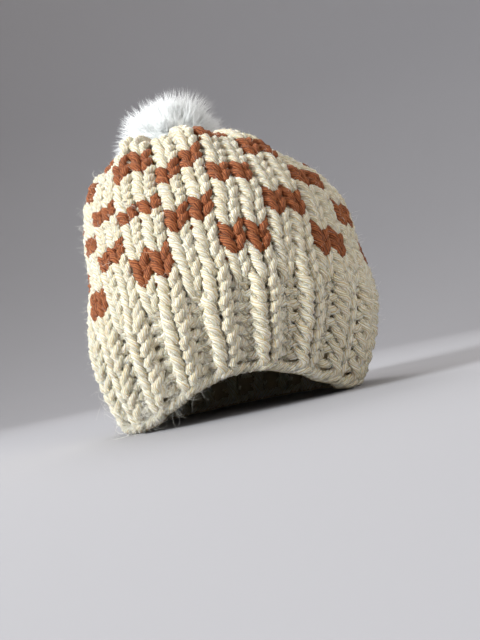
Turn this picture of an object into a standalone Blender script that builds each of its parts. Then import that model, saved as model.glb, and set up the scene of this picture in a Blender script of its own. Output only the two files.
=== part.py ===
"""Chunky knitted beanie: a ribbed brim, a slouching crown and a fur pompom.

Metres, +Z up. The hat stands on its brim edge at z = 0 with its front towards -Y.
The front is drawn up, so that the edge arches there, and the brim's edge is tucked in
and sits a little to the left. Above the brim the hat's axis leans towards the left,
and the rings of the crown tip backwards, so that the gather lies behind the crest and
faces back.
"""
import math
import random

import bmesh
import bpy
from mathutils import Vector

# Driving sizes in metres
HALF_WIDTH = 0.0860
HALF_DEPTH = 0.0890
BRIM_HALF_WIDTH = 0.0690
BRIM_OFFSET = 0.0050
RIB_HEIGHT = 0.0570
CROWN_HEIGHT = 0.0990
WALL = 0.0075
RIB_RELIEF = 0.0021
EDGE_ROUNDING = 0.0016
BRIM_ARCH = 0.0220
GATHER_RADIUS = 0.0090
PLEAT_RELIEF = 0.0024
POMPOM_RADIUS = 0.0400
POMPOM_CORE_RADIUS = 0.0315
POMPOM_CENTRE_RISE = 0.0270
CROWN_LEAN = 0.0190
PIECE_GAP = 0.0003

# Counts of the knitting
STITCHES_ROUND = 44
STITCHES_PER_RIB = 2
STITCHES_PER_PLEAT = 4

# Directions in degrees, measured round the hat from +X towards +Y
FRONT = -90.0
LEAN_TOWARDS = 150.0
BRIM_OFFSET_TOWARDS = 180.0
GATHER_TIPS_TOWARDS = 82.0
GATHER_TIP = 36.0
ARCH_CENTRE = -86.0
ARCH_HALF_ANGLE = 66.0
FRONT_STITCH = -0.7

# How gently the lean and the tip begin above the brim, and the offset below its top:
# 1 is a straight slant
LEAN_POWER = 1.8
TIP_POWER = 1.6
OFFSET_POWER = 1.5

# Facets
BRIM_FACETS_PER_RIB = 6
CROWN_FACETS_PER_RIB = 4
BRIM_LEVELS = 4
LOCK_SEED = 5

# Crown sections: height as a share of CROWN_HEIGHT, radius as a share of HALF_WIDTH,
# how far the rib still shows and how far the gather's pleats show, as shares of their reliefs
CROWN_SECTIONS = (
    ("height", "radius", "rib", "pleat"),
    (0.00, 1.000, 0.80, 0.00),
    (0.07, 1.004, 0.35, 0.00),
    (0.15, 1.002, 0.00, 0.00),
    (0.27, 0.988, 0.00, 0.00),
    (0.39, 0.960, 0.00, 0.05),
    (0.51, 0.915, 0.00, 0.15),
    (0.62, 0.852, 0.00, 0.35),
    (0.72, 0.782, 0.00, 0.60),
    (0.81, 0.684, 0.00, 0.85),
    (0.88, 0.568, 0.00, 1.00),
    (0.935, 0.430, 0.00, 1.00),
    (0.975, 0.270, 0.00, 0.60),
    (1.00, None, 0.00, 0.00),
)

# Dents and rolls of the soft crown: direction in degrees, height as a share of
# CROWN_HEIGHT, half spans in degrees and as a share of CROWN_HEIGHT, and how far
# the wall moves outwards as a share of WALL
CROWN_SWELLS = (
    ("direction", "height", "half_angle", "half_height", "outwards"),
    (95.0, 0.16, 66.0, 0.16, -0.20),
    (95.0, 0.60, 78.0, 0.34, 1.00),
    (70.0, 0.36, 34.0, 0.07, -0.30),
    (172.0, 0.80, 40.0, 0.18, 0.45),
    (-150.0, 0.90, 36.0, 0.12, -0.75),
    (-10.0, 0.58, 52.0, 0.36, 1.15),
    (-70.0, 0.60, 32.0, 0.16, -0.22),
    (-178.0, 0.36, 56.0, 0.36, -0.85),
    (-88.0, 0.86, 40.0, 0.12, -0.40),
    (-130.0, 0.86, 24.0, 0.12, 0.30),
)


def ring_angle(stitch):
    """Direction, in radians, of a place counted in stitches round the hat."""
    return math.radians(FRONT) + (stitch - FRONT_STITCH) * math.tau / STITCHES_ROUND


def angle_between(angle, centre):
    """Signed angle from centre to angle, both in radians, between -pi and pi."""
    return (angle - centre + math.pi) % math.tau - math.pi


def bump(distance, half_span):
    """One at the middle, falling smoothly to nothing at half_span and beyond."""
    if abs(distance) >= half_span:
        return 0.0
    return 0.5 + 0.5 * math.cos(math.pi * distance / half_span)


def column(name):
    """One named column of CROWN_SECTIONS, with the gather's radius filled in."""
    index = CROWN_SECTIONS[0].index(name)
    values = [row[index] for row in CROWN_SECTIONS[1:]]
    return [GATHER_RADIUS / HALF_WIDTH if value is None else value for value in values]


def along_crown(name, share):
    """A column's value at a share of the crown's height, on a smooth curve."""
    heights = column("height")
    values = column(name)
    last = len(heights) - 1
    share = min(max(share, 0.0), 1.0)
    here = 0
    while here < last - 1 and share > heights[here + 1]:
        here += 1
    span = heights[here + 1] - heights[here]
    slopes = []
    for point in (here, here + 1):
        before = max(point - 1, 0)
        after = min(point + 1, last)
        rise = values[after] - values[before]
        slopes.append(rise / (heights[after] - heights[before]) * span)
    t = (share - heights[here]) / span
    ease = t * t * (3.0 - 2.0 * t)
    return (values[here] * (1.0 - ease) + values[here + 1] * ease
            + slopes[0] * t * (1.0 - t) ** 2 - slopes[1] * t * t * (1.0 - t))


def radius_at(height):
    """Radius of the wall's middle at a height along the hat's axis."""
    if height <= RIB_HEIGHT:
        flare = math.sin(0.5 * math.pi * height / RIB_HEIGHT)
        return BRIM_HALF_WIDTH + (HALF_WIDTH - BRIM_HALF_WIDTH) * flare
    return HALF_WIDTH * along_crown("radius", (height - RIB_HEIGHT) / CROWN_HEIGHT)


def profile_normal(height):
    """Outward normal of the side profile, as its radial and axial parts."""
    step = 0.01 * RIB_HEIGHT
    low = max(height - step, 0.0)
    high = min(height + step, RIB_HEIGHT + CROWN_HEIGHT)
    if low < RIB_HEIGHT:
        return 1.0, 0.0
    normal = Vector((high - low, radius_at(low) - radius_at(high))).normalized()
    return normal.x, normal.y


def relief_at(angle, height):
    """How far ribs, pleats and swells move the wall outwards."""
    stitch = (angle - ring_angle(0.0)) * STITCHES_ROUND / math.tau
    rib = -math.cos(math.tau * stitch / STITCHES_PER_RIB) * RIB_RELIEF
    if height <= RIB_HEIGHT:
        return rib * along_crown("rib", 0.0) ** (height / RIB_HEIGHT)
    share = (height - RIB_HEIGHT) / CROWN_HEIGHT
    relief = rib * along_crown("rib", share)
    pleat = math.cos(math.tau * stitch / STITCHES_PER_PLEAT) * PLEAT_RELIEF
    relief += pleat * along_crown("pleat", share)
    for direction, middle, half_angle, half_height, outwards in CROWN_SWELLS[1:]:
        turn = angle_between(angle, math.radians(direction))
        reach = bump(turn, math.radians(half_angle)) * bump(share - middle, half_height)
        relief += outwards * WALL * reach
    return relief


def heading(degrees):
    """Level unit vector in a direction measured from +X towards +Y."""
    return Vector((math.cos(math.radians(degrees)), math.sin(math.radians(degrees)), 0.0))


def on_axis(radial, height):
    """Place on the bent axis: from (x, y) square to it and a height along it."""
    share = max((height - RIB_HEIGHT) / CROWN_HEIGHT, 0.0)
    below = max(1.0 - height / RIB_HEIGHT, 0.0)
    back = heading(GATHER_TIPS_TOWARDS)
    place = Vector((*radial, height))
    out = place.dot(back)
    tip = math.radians(GATHER_TIP) * share ** TIP_POWER
    place += back * out * (math.cos(tip) - 1.0)
    place.z -= out * math.sin(tip)
    place += heading(BRIM_OFFSET_TOWARDS) * BRIM_OFFSET * below ** OFFSET_POWER
    return place + heading(LEAN_TOWARDS) * CROWN_LEAN * share ** LEAN_POWER


def wall_point(angle, height, outwards):
    """A point of the wall, outwards from its middle, with the front drawn up in an arch."""
    normal_out, normal_up = profile_normal(height)
    offset = outwards + relief_at(angle, height)
    radius = radius_at(height) + offset * normal_out
    level = height + offset * normal_up
    depth = HALF_DEPTH / HALF_WIDTH
    point = on_axis((radius * math.cos(angle), radius * depth * math.sin(angle)), level)
    arch = bump(angle_between(angle, math.radians(ARCH_CENTRE)), math.radians(ARCH_HALF_ANGLE))
    point.z += BRIM_ARCH * arch * (1.0 - height / (RIB_HEIGHT + CROWN_HEIGHT))
    return point


def ring(facets_per_rib, height, outwards):
    """A loop of wall points, whose first point is on stitch 0."""
    count = STITCHES_ROUND // STITCHES_PER_RIB * facets_per_rib
    step = STITCHES_ROUND / count
    return [wall_point(ring_angle(index * step), height, outwards) for index in range(count)]


def loft(name, loops, poles=None):
    """Closed mesh through loops in turn; poles close the ends, or else it is a ring."""
    shape = bmesh.new()
    rows = [[shape.verts.new(point) for point in loop] for loop in loops]
    pairs = list(zip(rows, rows[1:]))
    if poles is None:
        pairs.append((rows[-1], rows[0]))
    for lower, upper in pairs:
        for index, corner in enumerate(lower):
            after = (index + 1) % len(lower)
            shape.faces.new((corner, lower[after], upper[after], upper[index]))
    if poles is not None:
        for row, pole in zip((rows[0], rows[-1]), poles):
            tip = shape.verts.new(pole)
            for index, corner in enumerate(row):
                shape.faces.new((corner, row[(index + 1) % len(row)], tip))
    bmesh.ops.recalc_face_normals(shape, faces=shape.faces)
    mesh = bpy.data.meshes.new(name)
    shape.to_mesh(mesh)
    shape.free()
    return mesh


def material(name, colour, roughness, sheen):
    """Principled material of one kind of yarn or fur."""
    finish = bpy.data.materials.new(name)
    finish.use_nodes = True
    shader = finish.node_tree.nodes["Principled BSDF"]
    shader.inputs["Base Color"].default_value = (*colour, 1.0)
    shader.inputs["Roughness"].default_value = roughness
    shader.inputs["Metallic"].default_value = 0.0
    shader.inputs["Sheen Weight"].default_value = sheen
    return finish


def add_part(collection, name, mesh, finish):
    """Put a mesh in the scene as a named sub-part, shaded smooth."""
    part = bpy.data.objects.new(name, mesh)
    mesh.materials.append(finish)
    mesh.shade_smooth()
    mesh.set_sharp_from_angle(angle=math.radians(50.0))
    collection.objects.link(part)
    return part


def brim_mesh():
    """Ribbed band: its bottom edge is flat at z = 0 and rounded at both sides."""
    half = 0.5 * WALL
    top = RIB_HEIGHT - 0.5 * PIECE_GAP
    rise = (top - EDGE_ROUNDING) / BRIM_LEVELS
    levels = [EDGE_ROUNDING + rise * step for step in range(BRIM_LEVELS + 1)]
    facets = BRIM_FACETS_PER_RIB
    outside = [ring(facets, 0.0, half - EDGE_ROUNDING)]
    outside += [ring(facets, level, half) for level in levels]
    inside = [ring(facets, level, -half) for level in reversed(levels)]
    inside.append(ring(facets, 0.0, EDGE_ROUNDING - half))
    return loft("ribbed_brim", outside + inside)


def crown_heights():
    """Heights along the axis of the crown's rings, from the brim to the gather."""
    heights = [RIB_HEIGHT + share * CROWN_HEIGHT for share in column("height")]
    heights[0] += 0.5 * PIECE_GAP
    return heights


def crown_mesh():
    """Domed shell, open below, whose gather closes in a small flat disc."""
    half = 0.5 * WALL
    facets = CROWN_FACETS_PER_RIB
    heights = crown_heights()
    outside = [ring(facets, height, half) for height in reversed(heights)]
    inside = [ring(facets, height, -half) for height in heights]
    poles = [sum(loop, Vector()) / len(loop) for loop in (outside[0], inside[-1])]
    return loft("crown", outside + inside, poles)


def gather_frame():
    """Middle of the gather's flat disc and the direction that it faces."""
    disc = ring(CROWN_FACETS_PER_RIB, crown_heights()[-1], 0.5 * WALL)
    middle = sum(disc, Vector()) / len(disc)
    quarter = len(disc) // 4
    facing = (disc[0] - middle).cross(disc[quarter] - middle).normalized()
    return middle, facing


def pompom_mesh():
    """Ball of fur locks round a core, flat where the gather's tie pulls it down."""
    middle, facing = gather_frame()
    centre = middle + facing * POMPOM_CENTRE_RISE
    seat_depth = POMPOM_CENTRE_RISE - PIECE_GAP
    tips = bmesh.new()
    bmesh.ops.create_icosphere(tips, subdivisions=3, radius=1.0)
    lock_ends = {tuple(round(value, 3) for value in vert.co) for vert in tips.verts}
    tips.free()
    shape = bmesh.new()
    bmesh.ops.create_icosphere(shape, subdivisions=4, radius=1.0)
    chance = random.Random(LOCK_SEED)
    turn = Vector((0.0, 0.0, 1.0)).rotation_difference(facing)
    for vert in shape.verts:
        is_tip = tuple(round(value, 3) for value in vert.co) in lock_ends
        reach = POMPOM_CORE_RADIUS
        if is_tip:
            reach += (POMPOM_RADIUS - POMPOM_CORE_RADIUS) * chance.uniform(0.35, 1.0)
        towards_seat = -vert.co.z
        if towards_seat * reach > seat_depth:
            reach = seat_depth / towards_seat
        vert.co = centre + turn @ vert.co * reach
    bmesh.ops.recalc_face_normals(shape, faces=shape.faces)
    mesh = bpy.data.meshes.new("pompom")
    shape.to_mesh(mesh)
    shape.free()
    return mesh


def main():
    for thing in list(bpy.data.objects):
        bpy.data.objects.remove(thing, do_unlink=True)
    beanie = bpy.data.collections.new("beanie")
    bpy.context.scene.collection.children.link(beanie)
    cream = material("cream_yarn", (0.80, 0.74, 0.62), 0.9, 0.4)
    checked = material("cream_and_rust_yarn", (0.72, 0.55, 0.42), 0.9, 0.4)
    fur = material("white_fur", (0.90, 0.91, 0.90), 0.8, 0.5)
    add_part(beanie, "ribbed_brim", brim_mesh(), cream)
    add_part(beanie, "crown", crown_mesh(), checked)
    add_part(beanie, "pompom", pompom_mesh(), fur)


main()
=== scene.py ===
"""Looks of the chunky knitted beanie: every stitch is a run of plied yarn laid on the wall.

Metres, +Z up, front towards -Y. A place on the knitting is given in stitches round the
hat, in rows up from the cast-on edge, and in metres outwards from the middle of the wall.
"""
import math

import bpy
import numpy as np
from mathutils import Matrix, Vector


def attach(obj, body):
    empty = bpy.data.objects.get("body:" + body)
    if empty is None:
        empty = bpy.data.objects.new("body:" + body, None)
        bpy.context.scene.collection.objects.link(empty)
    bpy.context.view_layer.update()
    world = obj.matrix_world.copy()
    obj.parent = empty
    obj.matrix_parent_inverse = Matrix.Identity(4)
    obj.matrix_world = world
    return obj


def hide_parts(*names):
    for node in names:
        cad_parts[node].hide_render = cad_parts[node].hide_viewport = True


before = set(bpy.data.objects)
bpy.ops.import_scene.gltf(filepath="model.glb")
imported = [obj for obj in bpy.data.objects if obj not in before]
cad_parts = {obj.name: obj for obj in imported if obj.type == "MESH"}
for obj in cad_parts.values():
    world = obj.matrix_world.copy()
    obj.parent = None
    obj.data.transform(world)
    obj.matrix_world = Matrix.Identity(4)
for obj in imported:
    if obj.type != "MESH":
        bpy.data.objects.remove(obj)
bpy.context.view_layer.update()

TAU = 2.0 * math.pi

# The wall, from the same named sizes as the solids
HALF_WIDTH = 0.0860
HALF_DEPTH = 0.0890
BRIM_HALF_WIDTH = 0.0690
BRIM_OFFSET = 0.0050
RIB_HEIGHT = 0.0570
CROWN_HEIGHT = 0.0990
WALL = 0.0075
RIB_RELIEF = 0.0021
BRIM_ARCH = 0.0220
GATHER_RADIUS = 0.0090
PLEAT_RELIEF = 0.0024
POMPOM_CENTRE_RISE = 0.0270
CROWN_LEAN = 0.0190
STITCHES_ROUND = 44
FRONT = -90.0
LEAN_TOWARDS = 150.0
BRIM_OFFSET_TOWARDS = 180.0
GATHER_TIPS_TOWARDS = 82.0
GATHER_TIP = 36.0
ARCH_CENTRE = -86.0
ARCH_HALF_ANGLE = 66.0
FRONT_STITCH = -0.7
LEAN_POWER = 1.8
TIP_POWER = 1.6
OFFSET_POWER = 1.5
CROWN_SECTIONS = (
    ("height", "radius", "rib", "pleat"),
    (0.00, 1.000, 0.80, 0.00),
    (0.07, 1.004, 0.35, 0.00),
    (0.15, 1.002, 0.00, 0.00),
    (0.27, 0.988, 0.00, 0.00),
    (0.39, 0.960, 0.00, 0.05),
    (0.51, 0.915, 0.00, 0.15),
    (0.62, 0.852, 0.00, 0.35),
    (0.72, 0.782, 0.00, 0.60),
    (0.81, 0.684, 0.00, 0.85),
    (0.88, 0.568, 0.00, 1.00),
    (0.935, 0.430, 0.00, 1.00),
    (0.975, 0.270, 0.00, 0.60),
    (1.00, GATHER_RADIUS / HALF_WIDTH, 0.00, 0.00),
)
CROWN_SWELLS = (
    ("direction", "height", "half_angle", "half_height", "outwards"),
    (95.0, 0.16, 66.0, 0.16, -0.20),
    (95.0, 0.60, 78.0, 0.34, 1.00),
    (70.0, 0.36, 34.0, 0.07, -0.30),
    (172.0, 0.80, 40.0, 0.18, 0.45),
    (-150.0, 0.90, 36.0, 0.12, -0.75),
    (-10.0, 0.58, 52.0, 0.36, 1.15),
    (-70.0, 0.60, 32.0, 0.16, -0.22),
    (-178.0, 0.36, 56.0, 0.36, -0.85),
    (-88.0, 0.86, 40.0, 0.12, -0.40),
    (-130.0, 0.86, 24.0, 0.12, 0.30),
)

# The knitting
RIB_ROWS = 8
ALL_ROWS = 30
CROWN_TWIST = 0.025
TWIST_TOWARDS = -20.0
TWIST_HALF_ANGLE = 114.0
LEFT_TWIST = 0.008
LEFT_TWIST_TOWARDS = -125.0
LEFT_TWIST_HALF_ANGLE = 48.0
LEFT_TWIST_ROWS = 13
ROWS_SAG = 0.15
ROWS_SAG_AT = 0.66
ROWS_SAG_BELOW = 0.50
ROWS_SAG_ABOVE = 0.34
ROWS_SAG_TOWARDS = -118.0
ROWS_SAG_HALF_ANGLE = 65.0
RIB_KNIT_WIDENING = 0.47
RIB_PURL_DEPTH = 0.0015
RIB_KNIT_RISE = 0.0007
PURL_LEG_LEAN = 0.06
PURL_FLATNESS = 0.45
PURL_SLANT = 0.10
YARN_RADIUS = 0.0027
PLY_PITCH = 0.0195
PLIES = 6
THREADS = 12
RING_STEP = 0.0025
LEG_LEAN = 0.225
LOOP_HEIGHT = 1.02
LOOP_DEPTH = 0.0019
LEG_LAP = 0.0011
LEG_SWELL = 0.07
PURL_SWELL = 0.08
PLY_CREST = 1.05
PLY_GROOVE = 0.91
COLUMN_WANDER = 0.09
SAMPLES_PER_STITCH = 24
FACE_TURN_SHARE = 0.16
FULL_STITCH_WIDTH = 0.0105
THINNEST_YARN = 0.30
THINNING_POWER = 0.75
EDGE_ROW = 0.46
EDGE_ROW_SWING = 0.13
EDGE_DEPTH = 0.0019
EDGE_YARN_RADIUS = 0.00235
FLOAT_LEVEL = 0.45
FLOAT_DEPTH = 0.0034
FLOAT_THINNING = 0.12
# Depths of the dark sheet of painted shade inside the wall.
SHADE_SHEET_DEPTH = 0.0031
SHADE_SHEET_DEPTH_AT_EDGE = 0.0008
FIRST_CROWN_ROW = 8
FIRST_ROW_OF_THE_TOP = 17
CHECK_BANDS = (
    ("first_row", "shift"),
    (10, 0), (13, 2), (16, 0), (19, 2), (22, 0), (25, 2),
)
CHECK_ROWS = 2
CHECK_WIDTH = 2
CHECK_REPEAT = 4
ROWS_WITH_HALF_THE_STITCHES = 25
ROWS_WITH_A_QUARTER = 28

# How much single stitches differ, in stitches, in rows and as shares of their size
STITCH_VARIATION = {"shift": 0.040, "rise": 0.055, "tall": 0.050, "deep": 0.12, "thick": 0.05}

# The fur and the loose fibres
FUR_LOCKS = 90
FUR_HAIRS = 8200
FUR_LAYERS = (
    ("name", "seed", "reach", "spread"),
    ("pompom_fur", 21, 0.0375, 0.07),
    ("pompom_fur_outer", 23, 0.0405, 0.14),
)
FUR_STEPS = 4
FUR_THICKNESS = (0.00014, 0.00025)
FUR_PULL_TO_LOCK = (0.15, 0.95)
FUR_CLEAR_OF_GATHER = 0.0035
HEART_CLEAR_OF_GATHER = 0.0015
FUR_HEART_RADIUS = 0.0262
FUR_HEART_LUMPS = 0.0012
FUZZ_HAIRS = 13000
FUZZ_LENGTH = (0.0018, 0.0052)
FUZZ_THICKNESS = (0.00003, 0.00006)
STRAY_HAIRS = 620
STRAY_HAIRS_AT_EDGE = 460
STRAY_HAIRS_TOWARDS = -130.0
STRAY_HAIR_POINTS = 9
STRAY_HAIR_THICKNESS = (0.00004, 0.00007)
STRAY_HAIR_CURL = 0.17

# The studio and the camera
FLOOR_RADIUS = 1.4
BOWL_RADIUS = 1.2
STUDIO_HEIGHT = 3.0
FLOOR_COLOUR = (0.37, 0.365, 0.385, 1.0)
SKY_COLOUR = (1.0, 0.975, 0.935, 1.0)
SKY_STRENGTH = 1.06
LIGHTS_AIM_AT = (0.0, 0.0, 0.10)
LIGHT_SPREAD = 110.0
LIGHTS = (
    ("name", "place", "size", "power", "colour"),
    ("key", (-1.68, -1.00, 0.90), 0.9, 25.0, (0.93, 0.975, 1.0)),
    ("fill", (0.9, -1.6, 0.75), 1.0, 4.5, (1.0, 0.96, 0.89)),
    ("back", (-0.3, 1.6, 2.2), 1.4, 10.0, (1.0, 1.0, 1.0)),
)
CAMERA_ELEVATION = -8.0
CAMERA_ROLL = 11.9
CAMERA_DISTANCE = 0.464
CAMERA_TARGET = (0.0, 0.0, 0.09)
FOCAL_PIXELS = 722.0
PHOTO_SIZE = (480.0, 640.0)
TARGET_PIXEL = (221.5, 267.5)


# ---- the wall ----

def bump(distance, half_span):
    """One at the middle, falling smoothly to nothing at half_span and beyond."""
    return np.where(np.abs(distance) >= half_span, 0.0,
                    0.5 + 0.5 * np.cos(math.pi * distance / half_span))


def along_crown(name, share):
    """A column of CROWN_SECTIONS at shares of the crown's height, on a smooth curve."""
    heights = np.array([row[0] for row in CROWN_SECTIONS[1:]])
    values = np.array([row[CROWN_SECTIONS[0].index(name)] for row in CROWN_SECTIONS[1:]])
    last = len(heights) - 1
    share = np.clip(share, 0.0, 1.0)
    here = np.clip(np.searchsorted(heights, share, side="left") - 1, 0, last - 1)
    span = heights[here + 1] - heights[here]

    def slope(point):
        before = np.maximum(point - 1, 0)
        after = np.minimum(point + 1, last)
        return (values[after] - values[before]) / (heights[after] - heights[before]) * span

    t = (share - heights[here]) / span
    ease = t * t * (3.0 - 2.0 * t)
    return (values[here] * (1.0 - ease) + values[here + 1] * ease
            + slope(here) * t * (1.0 - t) ** 2 - slope(here + 1) * t * t * (1.0 - t))


def radius_at(height):
    """Radius of the wall's middle at heights along the hat's axis."""
    flare = np.sin(0.5 * math.pi * np.clip(height, 0.0, RIB_HEIGHT) / RIB_HEIGHT)
    brim = BRIM_HALF_WIDTH + (HALF_WIDTH - BRIM_HALF_WIDTH) * flare
    crown = HALF_WIDTH * along_crown("radius", (height - RIB_HEIGHT) / CROWN_HEIGHT)
    return np.where(height <= RIB_HEIGHT, brim, crown)


def profile_normal(height):
    """Outward normal of the side profile, as its radial and axial parts."""
    step = 0.01 * RIB_HEIGHT
    low = np.maximum(height - step, 0.0)
    high = np.minimum(height + step, RIB_HEIGHT + CROWN_HEIGHT)
    out = high - low
    up = radius_at(low) - radius_at(high)
    size = np.hypot(out, up)
    in_brim = low < RIB_HEIGHT
    return np.where(in_brim, 1.0, out / size), np.where(in_brim, 0.0, up / size)


def ring_angle(stitch):
    """Directions, in radians, of places counted in stitches round the hat."""
    return math.radians(FRONT) + (stitch - FRONT_STITCH) * TAU / STITCHES_ROUND


def angle_between(angle, centre):
    """Signed angle from centre to angle, both in radians, between -pi and pi."""
    return (angle - centre + math.pi) % TAU - math.pi


def relief_at(angle, height):
    """How far ribs, pleats and swells move the wall outwards."""
    stitch = (angle - ring_angle(0.0)) * STITCHES_ROUND / TAU
    rib = -np.cos(math.pi * stitch) * RIB_RELIEF
    share = (height - RIB_HEIGHT) / CROWN_HEIGHT
    crown = rib * along_crown("rib", share)
    crown = crown + np.cos(0.5 * math.pi * stitch) * PLEAT_RELIEF * along_crown("pleat", share)
    for direction, middle, half_angle, half_height, outwards in CROWN_SWELLS[1:]:
        turn = angle_between(angle, math.radians(direction))
        reach = bump(turn, math.radians(half_angle)) * bump(share - middle, half_height)
        crown = crown + outwards * WALL * reach
    return np.where(height <= RIB_HEIGHT, rib * 0.80 ** (height / RIB_HEIGHT), crown)


def wall_point(angle, height, outwards):
    """Points of the wall, outwards from its middle, with the front drawn up in an arch."""
    normal_out, normal_up = profile_normal(height)
    offset = outwards + relief_at(angle, height)
    radius = radius_at(height) + offset * normal_out
    level = height + offset * normal_up
    x = radius * np.cos(angle)
    y = radius * (HALF_DEPTH / HALF_WIDTH) * np.sin(angle)
    share = np.maximum((level - RIB_HEIGHT) / CROWN_HEIGHT, 0.0)
    back = math.radians(GATHER_TIPS_TOWARDS)
    out = x * math.cos(back) + y * math.sin(back)
    tip = math.radians(GATHER_TIP) * share ** TIP_POWER
    lean = CROWN_LEAN * share ** LEAN_POWER
    towards = math.radians(LEAN_TOWARDS)
    offset = BRIM_OFFSET * np.maximum(1.0 - level / RIB_HEIGHT, 0.0) ** OFFSET_POWER
    x = x + math.cos(back) * out * (np.cos(tip) - 1.0) + math.cos(towards) * lean
    x = x + math.cos(math.radians(BRIM_OFFSET_TOWARDS)) * offset
    y = y + math.sin(back) * out * (np.cos(tip) - 1.0) + math.sin(towards) * lean
    z = level - out * np.sin(tip)
    turn = angle_between(angle, math.radians(ARCH_CENTRE))
    arch = bump(turn, math.radians(ARCH_HALF_ANGLE))
    z = z + BRIM_ARCH * arch * (1.0 - height / (RIB_HEIGHT + CROWN_HEIGHT))
    return np.stack(np.broadcast_arrays(x, y, z), -1)


# Heights of the crown's rows: evenly spaced along each upright line of the wall
MAP_ANGLES = 180
MAP_STEPS = 10
_angles = np.arange(MAP_ANGLES + 1) * TAU / MAP_ANGLES
_heights = RIB_HEIGHT + np.linspace(0.0, 1.0, 241) * CROWN_HEIGHT
_wall = wall_point(_angles[:, None], _heights[None, :], 0.0)
_runs = np.linalg.norm(np.diff(_wall, axis=1), axis=2)
_run = np.concatenate([np.zeros((MAP_ANGLES + 1, 1)), np.cumsum(_runs, axis=1)], axis=1)
_rows = np.linspace(0.0, 1.0, (ALL_ROWS - RIB_ROWS) * MAP_STEPS + 1)
ROW_HEIGHTS = np.array([np.interp(_rows * run[-1], run, _heights) for run in _run])


def row_height(angle, row):
    """Heights along the axis of places counted in rows, at directions in radians."""
    across = (angle % TAU) * MAP_ANGLES / TAU
    share = (row - RIB_ROWS) / (ALL_ROWS - RIB_ROWS)
    turn = angle_between(angle, math.radians(ROWS_SAG_TOWARDS))
    span = np.where(share < ROWS_SAG_AT, ROWS_SAG_BELOW, ROWS_SAG_ABOVE)
    sag = ROWS_SAG * bump(turn, math.radians(ROWS_SAG_HALF_ANGLE))
    share = share - sag * bump(share - ROWS_SAG_AT, span)
    up = np.clip(share, 0.0, 1.0) * (ROW_HEIGHTS.shape[1] - 1.001)
    left = np.minimum(across.astype(int), MAP_ANGLES - 1)
    low = up.astype(int)
    p = across - left
    q = up - low
    crown = ((ROW_HEIGHTS[left, low] * (1 - p) + ROW_HEIGHTS[left + 1, low] * p) * (1 - q)
             + (ROW_HEIGHTS[left, low + 1] * (1 - p) + ROW_HEIGHTS[left + 1, low + 1] * p) * q)
    return np.where(row <= RIB_ROWS, row * RIB_HEIGHT / RIB_ROWS, crown)


def knit_point(stitch, row, outwards):
    """Points on the knitting, from stitches round, rows up and metres outwards."""
    in_rib = np.clip(1.0 - 0.2 * np.maximum(row - RIB_ROWS + 2.0, 0.0), 0.0, 1.0)
    spread = stitch - RIB_KNIT_WIDENING / math.pi * np.sin(math.pi * stitch) * in_rib
    drift = COLUMN_WANDER * np.sin(0.61 * row + 0.9) * np.sin(0.43 * stitch + 0.4 * row)
    angle = ring_angle(spread + drift)
    twist = bump(angle_between(angle, math.radians(TWIST_TOWARDS)),
                 math.radians(TWIST_HALF_ANGLE))
    left = bump(angle_between(angle, math.radians(LEFT_TWIST_TOWARDS)),
                math.radians(LEFT_TWIST_HALF_ANGLE))
    rise = np.maximum(row - RIB_ROWS, 0.0)
    left_rise = np.minimum(rise, LEFT_TWIST_ROWS)
    angle = angle + CROWN_TWIST * twist * rise - LEFT_TWIST * left * left_rise
    return wall_point(angle, row_height(angle, row), outwards)


def knit_frame(stitch, row, outwards):
    """Points on the knitting and the wall's outward normals there."""
    place = knit_point(stitch, row, outwards)
    beyond = knit_point(stitch, row, outwards + 0.001)
    out = beyond - place
    return place, out / np.linalg.norm(out, axis=-1, keepdims=True)


# ---- yarn ----

def tube(path, normals, radii, pitch):
    """Plied yarn along a closed path: points, faces, and the yarn's own coordinates."""
    ends = np.vstack([path, path[:1]])
    lengths = np.concatenate([[0.0], np.cumsum(np.linalg.norm(np.diff(ends, axis=0), axis=1))])
    total = lengths[-1]
    count = max(int(round(total / RING_STEP)), 8)
    where = np.arange(count) * total / count

    def along(values):
        joined = np.vstack([values, values[:1]])
        return np.stack([np.interp(where, lengths, joined[:, k])
                         for k in range(joined.shape[1])], -1)

    centre = along(path)
    out = along(normals)
    radius = along(radii[:, None])[:, 0]
    tangent = np.roll(centre, -1, 0) - np.roll(centre, 1, 0)
    turns = max(round(total / pitch), 1)
    tangent /= np.linalg.norm(tangent, axis=1, keepdims=True)
    side = np.cross(tangent, out)
    side /= np.linalg.norm(side, axis=1, keepdims=True)
    out = np.cross(side, tangent)
    sides = 2 * PLIES
    corner = np.arange(sides) * TAU / sides
    turn = corner[None, :] + (where / total * turns * TAU)[:, None]
    lobe = np.where(np.arange(sides) % 2 == 0, PLY_CREST, PLY_GROOVE)
    reach = radius[:, None] * lobe[None, :]
    verts = (centre[:, None, :] + (reach * np.cos(turn))[..., None] * side[:, None, :]
             + (reach * np.sin(turn))[..., None] * out[:, None, :])
    coords = np.stack([np.broadcast_to(where[:, None], turn.shape),
                       np.broadcast_to(np.cos(corner), turn.shape),
                       np.broadcast_to(np.sin(corner), turn.shape)], -1)
    # Marks the corners between the plies, where the material paints shade.
    ply_gap_shade_mask = np.broadcast_to((np.arange(sides) % 2).astype(float), turn.shape)
    ring = np.arange(count)
    after = (ring + 1) % count
    j = np.arange(sides)
    k = (j + 1) % sides
    faces = np.stack([ring[:, None] * sides + j, ring[:, None] * sides + k,
                      after[:, None] * sides + k, after[:, None] * sides + j], -1)
    return verts.reshape(-1, 3), faces.reshape(-1, 4), coords.reshape(-1, 3), ply_gap_shade_mask.ravel()


def eased(values, t):
    """Per-stitch values spread along the stitches without a step where two meet."""
    before = 0.5 * (values + np.roll(values, 1))
    after = 0.5 * (values + np.roll(values, -1))
    ease = 0.5 - 0.5 * np.cos(TAU * t)
    edge = np.where(t[None, :] < 0.5, before[:, None], after[:, None])
    return edge + (values[:, None] - edge) * ease[None, :]


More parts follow.
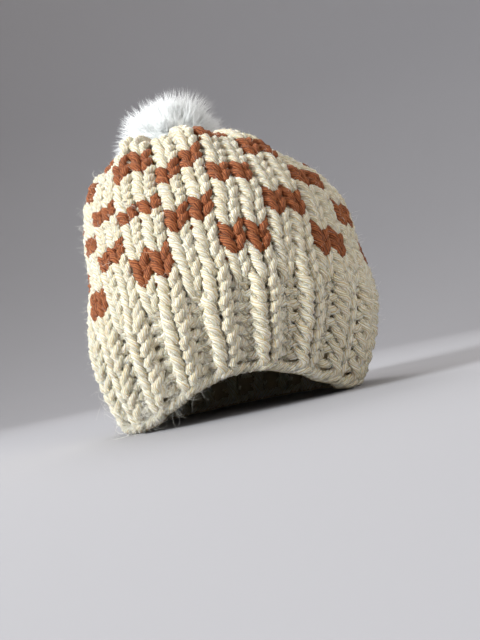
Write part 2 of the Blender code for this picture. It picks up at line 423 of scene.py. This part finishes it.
def course(row, span, kinds, chance, own=None):
    """One row of loops right round the hat, as a closed path with normals and radii.

    span is how many places each stitch takes, kinds holds +1 for knit and -1 for purl,
    and own, if given, is False where another colour is knitted and this one floats.
    """
    count = STITCHES_ROUND // span
    t = np.arange(SAMPLES_PER_STITCH) / SAMPLES_PER_STITCH
    centre = np.arange(count) * span + 0.5 * (span - 1)
    shift = chance.normal(0.0, STITCH_VARIATION["shift"], count)
    rise = chance.normal(0.0, STITCH_VARIATION["rise"], count)
    tall = LOOP_HEIGHT + chance.normal(0.0, STITCH_VARIATION["tall"], count)
    deep = 1.0 + chance.normal(0.0, STITCH_VARIATION["deep"], count)
    thick = 1.0 + chance.normal(0.0, STITCH_VARIATION["thick"], count)
    before = 0.5 * (kinds + np.roll(kinds, 1))
    after = 0.5 * (kinds + np.roll(kinds, -1))
    near = np.clip(np.minimum(t, 1.0 - t) / FACE_TURN_SHARE, 0.0, 1.0)
    near = near * near * (3.0 - 2.0 * near)
    edge = np.where(t[None, :] < 0.5, before[:, None], after[:, None])
    face = edge + (kinds[:, None] - edge) * near[None, :]
    lean = PURL_LEG_LEAN + (LEG_LEAN - PURL_LEG_LEAN) * (0.5 + 0.5 * face)
    u = centre[:, None] + span * ((t - 0.5)[None, :] + lean * np.sin(2.0 * TAU * t)[None, :])
    u = u + eased(shift, t)
    swing = np.cos(TAU * t)[None, :]
    purl = 0.5 - 0.5 * face
    swing = np.sign(swing) * np.abs(swing) ** (1.0 - PURL_FLATNESS * purl)
    v = row + 0.5 + eased(rise, t) - eased(tall, t) * swing
    v = v + PURL_SLANT * purl * np.sin(TAU * t)[None, :]
    z = (-LOOP_DEPTH * np.cos(2.0 * TAU * t)
         + LEG_LAP * np.sin(2.0 * TAU * t) * np.sin(TAU * t))[None, :] * face * eased(deep, t)
    in_rib = 1.0 if row < FIRST_CROWN_ROW else 0.0
    z = z - RIB_PURL_DEPTH * purl + RIB_KNIT_RISE * in_rib * (0.5 + 0.5 * face)
    leg = 1.0 + LEG_SWELL * np.sin(TAU * t)[None, :] * (face > 0.0)
    radius = YARN_RADIUS * eased(thick, t) * leg * (1.0 + PURL_SWELL * purl)
    if own is not None:
        mine = own.astype(float)
        ends = np.where(own[:, None], 0.0, 1.0)
        level = row + 0.5 - LOOP_HEIGHT * FLOAT_LEVEL
        float_u = centre[:, None] + span * (t - 0.5)[None, :]
        u = np.where(own[:, None], u, float_u)
        blend = np.where(own[:, None], 0.0, np.clip(eased(1.0 - mine, t), 0.0, 1.0))
        v = v * (1.0 - ends) + ends * ((row + 0.5 - LOOP_HEIGHT) * (1.0 - blend) + level * blend)
        z = z * (1.0 - ends) + ends * (-LOOP_DEPTH - FLOAT_DEPTH * blend)
        radius = radius * (1.0 - FLOAT_THINNING * ends)
    u, v, z, radius = u.ravel(), v.ravel(), z.ravel(), radius.ravel()
    path, out = knit_frame(u, v, z)
    around = knit_point(u + 0.5, v, z) - knit_point(u - 0.5, v, z)
    width = np.linalg.norm(around, axis=1) * span
    room = np.clip(width / FULL_STITCH_WIDTH, THINNEST_YARN, 1.0) ** THINNING_POWER
    return path, out, radius * room


class Strands:
    """Gathers tubes of one kind of yarn into one mesh."""

    def __init__(self):
        self.parts = []

    def joined(self):
        start = 0
        faces = []
        for part in self.parts:
            faces.append(part[1] + start)
            start += len(part[0])
        return (np.vstack([p[0] for p in self.parts]), np.vstack(faces),
                np.vstack([p[2] for p in self.parts]),
                np.concatenate([p[3] for p in self.parts]))


def mesh_object(name, verts, faces, finish, attributes=(), triangles=None):
    """A mesh that rides on the hat, from arrays of points, quads and triangles."""
    mesh = bpy.data.meshes.new(name)
    mesh.vertices.add(len(verts))
    mesh.vertices.foreach_set("co", np.ascontiguousarray(verts, np.float32).ravel())
    corners = [np.asarray(faces, np.int32).reshape(-1)]
    starts = [np.arange(len(faces), dtype=np.int32) * 4]
    if triangles is not None:
        corners.append(np.asarray(triangles, np.int32).reshape(-1))
        starts.append(len(corners[0]) + np.arange(len(triangles), dtype=np.int32) * 3)
    corners = np.concatenate(corners)
    starts = np.concatenate(starts)
    mesh.loops.add(len(corners))
    mesh.loops.foreach_set("vertex_index", corners)
    mesh.polygons.add(len(starts))
    mesh.polygons.foreach_set("loop_start", starts)
    mesh.update(calc_edges=True)
    for label, kind, key, values in attributes:
        layer = mesh.attributes.new(label, kind, "POINT")
        layer.data.foreach_set(key, np.ascontiguousarray(values, np.float32).ravel())
    mesh.shade_smooth()
    mesh.materials.append(finish)
    piece = bpy.data.objects.new(name, mesh)
    bpy.context.scene.collection.objects.link(piece)
    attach(piece, "root")
    return piece


# ---- hairs ----

def hair_mesh(paths, thick):
    """Three-sided hairs that taper to a point: points, quads, triangles and the way along."""
    count, steps, _ = paths.shape
    along = np.gradient(paths, axis=1)
    along /= np.linalg.norm(along, axis=2, keepdims=True) + 1e-12
    spare = np.where(np.abs(along[..., 2:]) > 0.8, np.array([1.0, 0.0, 0.0]),
                     np.array([0.0, 0.0, 1.0]))
    side = np.cross(along, spare)
    side /= np.linalg.norm(side, axis=2, keepdims=True) + 1e-12
    out = np.cross(side, along)
    rings = steps - 1
    t = np.arange(rings) / rings
    taper = (1.0 - t ** 2 * 0.75)[None, :, None, None] * thick[:, None, None, None]
    corner = np.arange(3) * TAU / 3.0
    verts = (paths[:, :rings, None, :]
             + taper * (np.cos(corner)[None, None, :, None] * side[:, :rings, None, :]
                        + np.sin(corner)[None, None, :, None] * out[:, :rings, None, :]))
    body = verts.reshape(count, rings * 3, 3)
    tips = paths[:, -1:, :]
    points = np.concatenate([body, tips], axis=1)
    each = rings * 3 + 1
    ring = np.arange(rings - 1)[:, None] * 3
    j = np.arange(3)[None, :]
    k = (j + 1) % 3
    quads = np.stack([ring + j, ring + k, ring + 3 + k, ring + 3 + j], -1).reshape(-1, 4)
    last = (rings - 1) * 3
    ends = [[last + a, last + (a + 1) % 3, rings * 3] for a in range(3)] + [[2, 1, 0]]
    start = (np.arange(count) * each)[:, None, None]
    all_quads = (quads[None] + start).reshape(-1, 4)
    all_tris = (np.array(ends)[None] + start).reshape(-1, 3)
    way = np.concatenate([np.repeat(t, 3), [1.0]])
    return points.reshape(-1, 3), all_quads, all_tris, np.tile(way, count)


# ---- materials ----

def new_material(name):
    finish = bpy.data.materials.new(name)
    finish.use_nodes = True
    return finish, finish.node_tree.nodes, finish.node_tree.links


def yarn_material(name, light, deep, ply_gap_painted_shade, sheen):
    """Plied wool blend: fibres run along the plies; the furrows between the plies get painted
    shade, warmer and darker, and the deep colour between the thread lines is partly painted shade.
    """
    finish, nodes, links = new_material(name)
    shader = nodes["Principled BSDF"]
    shader.inputs["Roughness"].default_value = 0.62
    shader.inputs["Sheen Weight"].default_value = sheen
    shader.inputs["Sheen Roughness"].default_value = 0.40
    shader.inputs["Specular IOR Level"].default_value = 0.28
    shader.inputs["Subsurface Weight"].default_value = 0.30
    shader.inputs["Subsurface Radius"].default_value = (1.0, 0.75, 0.50)
    shader.inputs["Subsurface Scale"].default_value = 0.0012
    place = nodes.new("ShaderNodeAttribute")
    place.attribute_name = "strand"
    stretch = nodes.new("ShaderNodeMapping")
    stretch.inputs["Scale"].default_value = (150.0, 5.0, 5.0)
    links.new(place.outputs["Vector"], stretch.inputs["Vector"])
    fibre = nodes.new("ShaderNodeTexNoise")
    fibre.inputs["Scale"].default_value = 1.0
    fibre.inputs["Detail"].default_value = 3.0
    fibre.inputs["Roughness"].default_value = 0.6
    links.new(stretch.outputs["Vector"], fibre.inputs["Vector"])
    parts = nodes.new("ShaderNodeSeparateXYZ")
    links.new(place.outputs["Vector"], parts.inputs["Vector"])

    def maths(operation, first, second):
        node = nodes.new("ShaderNodeMath")
        node.operation = operation
        for socket, value in zip(node.inputs, (first, second)):
            if isinstance(value, float):
                socket.default_value = value
            elif value is not None:
                links.new(value, socket)
        return node.outputs["Value"]

    around = maths("ARCTAN2", parts.outputs["Z"], parts.outputs["Y"])
    wander = maths("MULTIPLY", fibre.outputs["Fac"], 9.0)
    lines = maths("SINE", maths("ADD", maths("MULTIPLY", around, float(THREADS)), wander), None)
    thread = maths("ADD", maths("MULTIPLY", lines, 0.32), fibre.outputs["Fac"])
    spot = nodes.new("ShaderNodeTexCoord")
    cloud = nodes.new("ShaderNodeTexNoise")
    cloud.inputs["Scale"].default_value = 90.0
    cloud.inputs["Detail"].default_value = 2.0
    links.new(spot.outputs["Object"], cloud.inputs["Vector"])
    # The thread streaks blend the deep colour into the light one: the streaks are the yarn's own,
    # and the deep colour between them is partly painted shade.
    thread_streaks_and_shade = nodes.new("ShaderNodeMix")
    thread_streaks_and_shade.data_type = "RGBA"
    thread_streaks_and_shade.inputs["A"].default_value = (*deep, 1.0)
    thread_streaks_and_shade.inputs["B"].default_value = (*light, 1.0)
    ramp = nodes.new("ShaderNodeMapRange")
    ramp.inputs["From Min"].default_value = 0.15
    ramp.inputs["From Max"].default_value = 0.62
    links.new(thread, ramp.inputs["Value"])
    links.new(ramp.outputs["Result"], thread_streaks_and_shade.inputs["Factor"])
    patch = nodes.new("ShaderNodeMix")
    patch.data_type = "RGBA"
    patch.blend_type = "MULTIPLY"
    patch.inputs["B"].default_value = (0.93, 0.90, 0.84, 1.0)
    links.new(cloud.outputs["Fac"], patch.inputs["Factor"])
    links.new(thread_streaks_and_shade.outputs["Result"], patch.inputs["A"])
    # Painted shade: the furrows between the plies are multiplied darker and warmer.
    painted_shade_mask_node = nodes.new("ShaderNodeAttribute")
    painted_shade_mask_node.attribute_name = "ply_gap_shade_mask"
    sharp = nodes.new("ShaderNodeMath")
    sharp.operation = "POWER"
    sharp.inputs[1].default_value = 1.6
    links.new(painted_shade_mask_node.outputs["Fac"], sharp.inputs[0])
    shade = nodes.new("ShaderNodeMix")
    shade.data_type = "RGBA"
    shade.blend_type = "MULTIPLY"
    shade.inputs["B"].default_value = (*ply_gap_painted_shade, 1.0)
    links.new(sharp.outputs["Value"], shade.inputs["Factor"])
    links.new(patch.outputs["Result"], shade.inputs["A"])
    links.new(shade.outputs["Result"], shader.inputs["Base Color"])
    bumps = nodes.new("ShaderNodeBump")
    bumps.inputs["Strength"].default_value = 1.0
    bumps.inputs["Distance"].default_value = 0.0007
    links.new(thread, bumps.inputs["Height"])
    links.new(bumps.outputs["Normal"], shader.inputs["Normal"])
    return finish


def hair_material(name, root, tip, roughness, sheen, through=0.0):
    """Loose fibres in one colour at the root and another at the tip, which let light through."""
    finish, nodes, links = new_material(name)
    shader = nodes["Principled BSDF"]
    shader.inputs["Roughness"].default_value = roughness
    shader.inputs["Sheen Weight"].default_value = sheen
    shader.inputs["Specular IOR Level"].default_value = 0.35
    shader.inputs["Subsurface Weight"].default_value = through
    shader.inputs["Subsurface Radius"].default_value = (1.0, 1.0, 1.0)
    shader.inputs["Subsurface Scale"].default_value = 0.004
    way = nodes.new("ShaderNodeAttribute")
    way.attribute_name = "way"
    spot = nodes.new("ShaderNodeTexCoord")
    cloud = nodes.new("ShaderNodeTexNoise")
    cloud.inputs["Scale"].default_value = 140.0
    links.new(spot.outputs["Object"], cloud.inputs["Vector"])
    level = nodes.new("ShaderNodeMath")
    level.operation = "MULTIPLY_ADD"
    level.inputs[1].default_value = 0.35
    links.new(cloud.outputs["Fac"], level.inputs[0])
    links.new(way.outputs["Fac"], level.inputs[2])
    mix = nodes.new("ShaderNodeMix")
    mix.data_type = "RGBA"
    mix.clamp_factor = True
    mix.inputs["A"].default_value = (*root, 1.0)
    mix.inputs["B"].default_value = (*tip, 1.0)
    links.new(level.outputs["Value"], mix.inputs["Factor"])
    links.new(mix.outputs["Result"], shader.inputs["Base Color"])
    return finish


# Each yarn's last colour is painted shade multiplied into the furrows between its plies; its
# second, the deep colour, is partly painted shade between the thread lines.
CREAM = yarn_material("cream_yarn_knitted", (0.945, 0.94, 0.87), (0.76, 0.665, 0.46),
                      (0.88, 0.79, 0.60), 0.20)
RUST = yarn_material("rust_yarn_knitted", (0.48, 0.165, 0.058), (0.16, 0.042, 0.013),
                     (0.76, 0.60, 0.48), 0.05)
# The sheet inside the wall: dark brown painted shade, not the cream yarn's own colour.
SHADE_SHEET_FINISH = hair_material("painted_shade_between_the_stitches", (0.34, 0.27, 0.16),
                           (0.56, 0.46, 0.30), 0.9, 0.0)
CREAM_FUZZ = hair_material("cream_fuzz", (0.90, 0.86, 0.74), (0.95, 0.93, 0.86), 0.6, 0.2)
# The fur's root colour is lighter than its tip colour: painted light where shade falls deep in the
# fur.
FUR = hair_material("white_fur_strands", (0.91, 0.93, 0.91), (0.86, 0.885, 0.875),
                    0.8, 0.0, 0.8)


# ---- the knitting, row by row ----

def yarn_piece(name, strands, finish):
    verts, faces, coords, ply_gap_shade_mask = strands.joined()
    return mesh_object(name, verts, faces, finish,
                       (("strand", "FLOAT_VECTOR", "vector", coords),
                        ("ply_gap_shade_mask", "FLOAT", "value", ply_gap_shade_mask)))


def lay(strands, path, out, radii):
    strands.parts.append(tube(path, out, radii, PLY_PITCH))


fuzz_roots = []
brim = Strands()
crown_low = Strands()
crown_high = Strands()
checks = Strands()
rib_kinds = np.where(np.arange(STITCHES_ROUND) % 2 == 1, 1.0, -1.0)

for side in (0.0, 0.5):
    turn = np.linspace(0.0, STITCHES_ROUND, STITCHES_ROUND * 12, endpoint=False)
    spin = TAU * (turn + side)
    edge_path, edge_out = knit_frame(turn, EDGE_ROW + EDGE_ROW_SWING * np.sin(spin),
                                     EDGE_DEPTH * np.cos(spin))
    lay(brim, edge_path, edge_out, np.full(len(turn), EDGE_YARN_RADIUS))

for row in range(1, ALL_ROWS - 1):
    chance = np.random.default_rng(700 + row)
    span = 1
    if row >= ROWS_WITH_HALF_THE_STITCHES:
        span = 2
    if row >= ROWS_WITH_A_QUARTER:
        span = 4
    kinds = rib_kinds if row < FIRST_CROWN_ROW else np.ones(STITCHES_ROUND // span)
    shift = None
    for first, offset in CHECK_BANDS[1:]:
        if first <= row < first + CHECK_ROWS:
            shift = offset
    target = (brim if row < FIRST_CROWN_ROW
              else crown_low if row < FIRST_ROW_OF_THE_TOP else crown_high)
    if shift is None:
        path, out, radii = course(row, span, kinds, chance)
        lay(target, path, out, radii)
    else:
        places = np.arange(STITCHES_ROUND // span) * span
        is_check = (places - shift) % CHECK_REPEAT < CHECK_WIDTH
        path, out, radii = course(row, span, kinds, chance, ~is_check)
        lay(target, path, out, radii)
        path_2, out_2, radii_2 = course(row, span, kinds, chance, is_check)
        lay(checks, path_2, out_2, radii_2)
    fuzz_roots.append((path, out))

brim_knit = yarn_piece("brim_knit", brim, CREAM)
crown_knit = yarn_piece("crown_knit", crown_low, CREAM)
yarn_piece("crown_top_knit", crown_high, CREAM)
yarn_piece("check_knit", checks, RUST)
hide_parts("ribbed_brim")
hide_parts("crown")


def dark_sheet_of_painted_shade():
    """A dark sheet inside the wall, behind the stitches, which closes the small gaps between them:
    its brown colour is painted shade.
    """
    across = STITCHES_ROUND * 3
    rows = np.concatenate([[0.01, 0.7], np.linspace(1.3, ALL_ROWS - 0.9, 46)])
    depth = np.interp(rows, (0.0, 1.5), (-SHADE_SHEET_DEPTH_AT_EDGE, -SHADE_SHEET_DEPTH))
    stitch = np.arange(across) * STITCHES_ROUND / across
    verts = knit_point(stitch[None, :], rows[:, None], depth[:, None])
    k = np.arange(across)
    after = (k + 1) % across
    ring = np.arange(len(rows) - 1)[:, None] * across
    quads = np.stack([ring + k, ring + after, ring + across + after, ring + across + k], -1)
    return verts.reshape(-1, 3), quads.reshape(-1, 4), np.full(verts.size // 3, 0.2)


# The dark sheet whose brown colour is painted shade in the gaps between stitches.
points, quads, way = dark_sheet_of_painted_shade()
mesh_object("painted_shade_sheet", points, quads, SHADE_SHEET_FINISH,
            (("way", "FLOAT", "value", way),))


# ---- the pompom ----

GATHER_POINTS = 88
gather_ring = wall_point(np.arange(GATHER_POINTS) * TAU / GATHER_POINTS,
                         np.full(GATHER_POINTS, RIB_HEIGHT + CROWN_HEIGHT), 0.5 * WALL)
gather = gather_ring.mean(axis=0)
facing = np.cross(gather_ring[0] - gather, gather_ring[GATHER_POINTS // 4] - gather)
facing /= np.linalg.norm(facing)
POMPOM_CENTRE = gather + facing * POMPOM_CENTRE_RISE


def fur(seed, count, reach, spread):
    """Locks of long soft fur that spring from a small core at the gather."""
    chance = np.random.default_rng(seed)
    k = np.arange(FUR_LOCKS) + 0.5
    polar = np.arccos(1.0 - 2.0 * k / FUR_LOCKS)
    turn = math.pi * (1.0 + 5 ** 0.5) * k
    lock = np.stack([np.cos(turn) * np.sin(polar), np.sin(turn) * np.sin(polar),
                     np.cos(polar)], -1)
    lock += chance.normal(0.0, 0.16, lock.shape)
    lock /= np.linalg.norm(lock, axis=1, keepdims=True)
    length = reach * (1.0 + chance.normal(0.0, 0.07, FUR_LOCKS))
    way = chance.normal(size=(count * 2, 3))
    way /= np.linalg.norm(way, axis=1, keepdims=True)
    way = way[way @ facing > -0.62][:count]
    owner = np.argmax(way @ lock.T, axis=1)
    pull = chance.uniform(*FUR_PULL_TO_LOCK, len(way))[:, None]
    tip_way = way * (1.0 - pull) + lock[owner] * pull
    tip_way += chance.normal(0.0, spread, way.shape)
    tip_way /= np.linalg.norm(tip_way, axis=1, keepdims=True)
    far = length[owner] * (1.05 - 0.30 * chance.uniform(0.0, 1.0, len(way)) ** 1.5)
    root = chance.uniform(0.006, 0.020, len(way))
    sag = chance.uniform(0.001, 0.004, len(way)) * (1.0 - np.abs(tip_way[:, 2]) * 0.5)
    steps = np.linspace(0.0, 1.0, FUR_STEPS)[None, :, None]
    run = root[:, None, None] + (far - root)[:, None, None] * steps
    course_way = way[:, None, :] * (1.0 - steps) + tip_way[:, None, :] * steps
    course_way /= np.linalg.norm(course_way, axis=2, keepdims=True)
    swirl = np.cross(lock[owner], np.array([0.2, -0.4, 0.9]))[:, None, :]
    bend = chance.normal(0.0, 0.0022, FUR_LOCKS)[owner][:, None, None]
    bend = bend * np.sin(math.pi * steps * 0.8)
    paths = POMPOM_CENTRE + course_way * run + swirl * bend
    paths[..., 2] -= sag[:, None] * steps[..., 0] ** 2
    under = (paths - gather) @ facing
    lift = np.maximum(FUR_CLEAR_OF_GATHER - under, 0.0)
    paths += lift[..., None] * facing
    thick = chance.uniform(*FUR_THICKNESS, len(way))
    return hair_mesh(paths, thick)


def fur_core():
    """The pompom's woolly heart, which shows between the locks."""
    across = 48
    levels = 24
    polar = np.linspace(0.0, math.pi, levels + 1)[1:-1]
    turn = np.arange(across) * TAU / across
    way = np.stack(np.broadcast_arrays(np.cos(turn) * np.sin(polar)[:, None],
                                       np.sin(turn) * np.sin(polar)[:, None],
                                       np.cos(polar)[:, None]), -1).reshape(-1, 3)
    way = np.vstack([way, [[0.0, 0.0, 1.0], [0.0, 0.0, -1.0]]])
    lumps = (np.sin(9.0 * way[:, 0] + 2.0 * way[:, 2]) * np.sin(8.0 * way[:, 1] + 1.0)
             + 0.6 * np.sin(15.0 * way[:, 2] + 4.0 * way[:, 0]))
    verts = POMPOM_CENTRE + way * (FUR_HEART_RADIUS + FUR_HEART_LUMPS * lumps)[:, None]
    under = (verts - gather) @ facing
    verts += np.maximum(HEART_CLEAR_OF_GATHER - under, 0.0)[:, None] * facing
    k = np.arange(across)
    after = (k + 1) % across
    ring = np.arange(levels - 2)[:, None] * across
    quads = np.stack([ring + k, ring + across + k, ring + across + after, ring + after], -1)
    top = (levels - 1) * across
    last = (levels - 2) * across
    caps = np.concatenate([np.stack([np.full(across, top), k, after], -1),
                           np.stack([np.full(across, top + 1), last + after, last + k], -1)])
    return verts, quads.reshape(-1, 4), caps, np.full(len(verts), 0.25)


points, quads, triangles, way = fur_core()
mesh_object("pompom_core", points, quads, FUR,
            (("way", "FLOAT", "value", way),), triangles)

for name, seed, reach, spread in FUR_LAYERS[1:]:
    points, quads, triangles, way = fur(seed, FUR_HAIRS, reach, spread)
    piece = mesh_object(name, points, quads, FUR,
                        (("way", "FLOAT", "value", way),), triangles)
    if name == "pompom_fur":
        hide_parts("pompom")


# ---- loose fibres on the yarn ----

def fuzz():
    """A short halo on all the yarn."""
    chance = np.random.default_rng(31)
    roots = np.vstack([p for p, _ in fuzz_roots])
    outs = np.vstack([o for _, o in fuzz_roots])
    pick = chance.choice(len(roots), FUZZ_HAIRS, replace=False)
    out = outs[pick]
    root = roots[pick] + out * YARN_RADIUS * 0.8
    way = 0.8 * out + chance.normal(0.0, 0.8, (len(pick), 3))
    way /= np.linalg.norm(way, axis=1, keepdims=True)
    inward = np.sum(way * out, axis=1)
    way -= out * np.minimum(inward, 0.0)[:, None] * 1.6
    curl = chance.normal(0.0, 1.0, (len(pick), 3))
    length = chance.uniform(*FUZZ_LENGTH, len(pick))[:, None, None]
    steps = np.linspace(0.0, 1.0, 3)[None, :, None]
    paths = root[:, None, :] + length * (way[:, None, :] * steps
                                         + 0.5 * curl[:, None, :] * steps ** 2)
    paths[..., 2] = np.maximum(paths[..., 2], 0.0004)
    return hair_mesh(paths, chance.uniform(*FUZZ_THICKNESS, len(pick)))


def stray_hairs():
    """Long curly hairs, most of them along the brim's edge at the front left."""
    chance = np.random.default_rng(47)
    count = STRAY_HAIRS
    at_edge = np.arange(count) < STRAY_HAIRS_AT_EDGE
    angle = np.where(at_edge, np.radians(STRAY_HAIRS_TOWARDS) + chance.normal(0.0, 0.30, count),
                     chance.uniform(0.0, TAU, count))
    stitch = (angle - ring_angle(0.0)) * STITCHES_ROUND / TAU
    row = np.where(at_edge, 0.3 + chance.exponential(1.3, count),
                   chance.uniform(0.5, 26.0, count))
    root, out = knit_frame(stitch, row, 0.5 * WALL)
    length = np.where(at_edge, 0.005 + chance.exponential(0.006, count).clip(0.0, 0.017),
                      chance.uniform(0.005, 0.011, count))
    steps = STRAY_HAIR_POINTS
    way = out + chance.normal(0.0, 0.55, (count, 3)) + np.array([-0.25, 0.0, -0.25])
    bend = chance.normal(0.0, 1.0, (count, 3))
    spin = chance.uniform(1.5, 5.0, count) * chance.choice([-1.0, 1.0], count)
    paths = [root - out * 0.001]
    for _ in range(steps - 1):
        way = way / np.linalg.norm(way, axis=1, keepdims=True)
        paths.append(paths[-1] + way * (length / (steps - 1))[:, None])
        way = way + (STRAY_HAIR_CURL * spin[:, None] * np.cross(way, bend)
                     / np.linalg.norm(bend, axis=1)[:, None])
    paths = np.stack(paths, axis=1)
    paths[..., 2] = np.maximum(paths[..., 2], 0.0003)
    return hair_mesh(paths, chance.uniform(*STRAY_HAIR_THICKNESS, count))


for name, hairs in (("yarn_fuzz", fuzz()), ("stray_hairs", stray_hairs())):
    points, quads, triangles, way = hairs
    mesh_object(name, points, quads, CREAM_FUZZ,
                (("way", "FLOAT", "value", way),), triangles)


# ---- stage, light and camera ----

def studio():
    """A pale floor that sweeps up all round, three soft lights and a soft sky."""
    finish, nodes, links = new_material("pale_floor")
    shader = nodes["Principled BSDF"]
    shader.inputs["Base Color"].default_value = FLOOR_COLOUR
    shader.inputs["Roughness"].default_value = 0.9
    profile = [(0.0, 0.0), (0.6, 0.0), (FLOOR_RADIUS, 0.0)]
    profile += [(FLOOR_RADIUS + BOWL_RADIUS * math.sin(a), BOWL_RADIUS * (1.0 - math.cos(a)))
                for a in np.linspace(0.0, 0.5 * math.pi, 13)[1:]]
    profile.append((FLOOR_RADIUS + BOWL_RADIUS, STUDIO_HEIGHT))
    around = 96
    verts = [(0.0, 0.0, 0.0)]
    faces = []
    for radius, height in profile[1:]:
        verts += [(radius * math.cos(TAU * k / around), radius * math.sin(TAU * k / around), height)
                  for k in range(around)]
    for k in range(around):
        faces.append((0, 1 + k, 1 + (k + 1) % around))
    for ring in range(len(profile) - 2):
        low = 1 + ring * around
        for k in range(around):
            after = (k + 1) % around
            faces.append((low + k, low + around + k, low + around + after, low + after))
    mesh = bpy.data.meshes.new("studio_floor")
    mesh.from_pydata(verts, [], faces)
    mesh.shade_smooth()
    mesh.materials.append(finish)
    floor = bpy.data.objects.new("studio_floor", mesh)
    bpy.context.scene.collection.objects.link(floor)
    for name, place, size, power, colour in LIGHTS[1:]:
        light = bpy.data.lights.new(name, "AREA")
        light.shape = "DISK"
        light.size = size
        light.energy = power
        light.spread = math.radians(LIGHT_SPREAD)
        light.color = colour
        lamp = bpy.data.objects.new(name, light)
        bpy.context.scene.collection.objects.link(lamp)
        lamp.location = place
        aim = Vector(LIGHTS_AIM_AT) - Vector(place)
        lamp.rotation_euler = aim.to_track_quat("-Z", "Y").to_euler()
    world = bpy.data.worlds.new("sky")
    world.use_nodes = True
    world.node_tree.nodes["Background"].inputs["Color"].default_value = SKY_COLOUR
    world.node_tree.nodes["Background"].inputs["Strength"].default_value = SKY_STRENGTH
    bpy.context.scene.world = world


def photo_camera():
    """The photo's view of the hat, with the hat's own lean in the frame."""
    elevation = math.radians(CAMERA_ELEVATION)
    roll = math.radians(CAMERA_ROLL)
    target = Vector(CAMERA_TARGET)
    forward = Vector((0.0, math.cos(elevation), -math.sin(elevation)))
    right = Vector((1.0, 0.0, 0.0))
    up = right.cross(forward)
    across = right * math.cos(roll) - up * math.sin(roll)
    above = up * math.cos(roll) + right * math.sin(roll)
    data = bpy.data.cameras.new("photo_view")
    data.lens = FOCAL_PIXELS / PHOTO_SIZE[1] * 36.0
    data.sensor_width = 36.0
    data.shift_x = (0.5 * PHOTO_SIZE[0] - TARGET_PIXEL[0]) / PHOTO_SIZE[1]
    data.shift_y = -(0.5 * PHOTO_SIZE[1] - TARGET_PIXEL[1]) / PHOTO_SIZE[1]
    data.clip_start = 0.01
    camera = bpy.data.objects.new("photo_view", data)
    bpy.context.scene.collection.objects.link(camera)
    turn = Matrix((across, above, -forward)).transposed().to_4x4()
    camera.matrix_world = Matrix.Translation(target - forward * CAMERA_DISTANCE) @ turn
    bpy.context.scene.camera = camera


studio()
photo_camera()
bpy.context.scene.view_settings.view_transform = "Standard"
bpy.context.scene.view_settings.exposure = 0.0
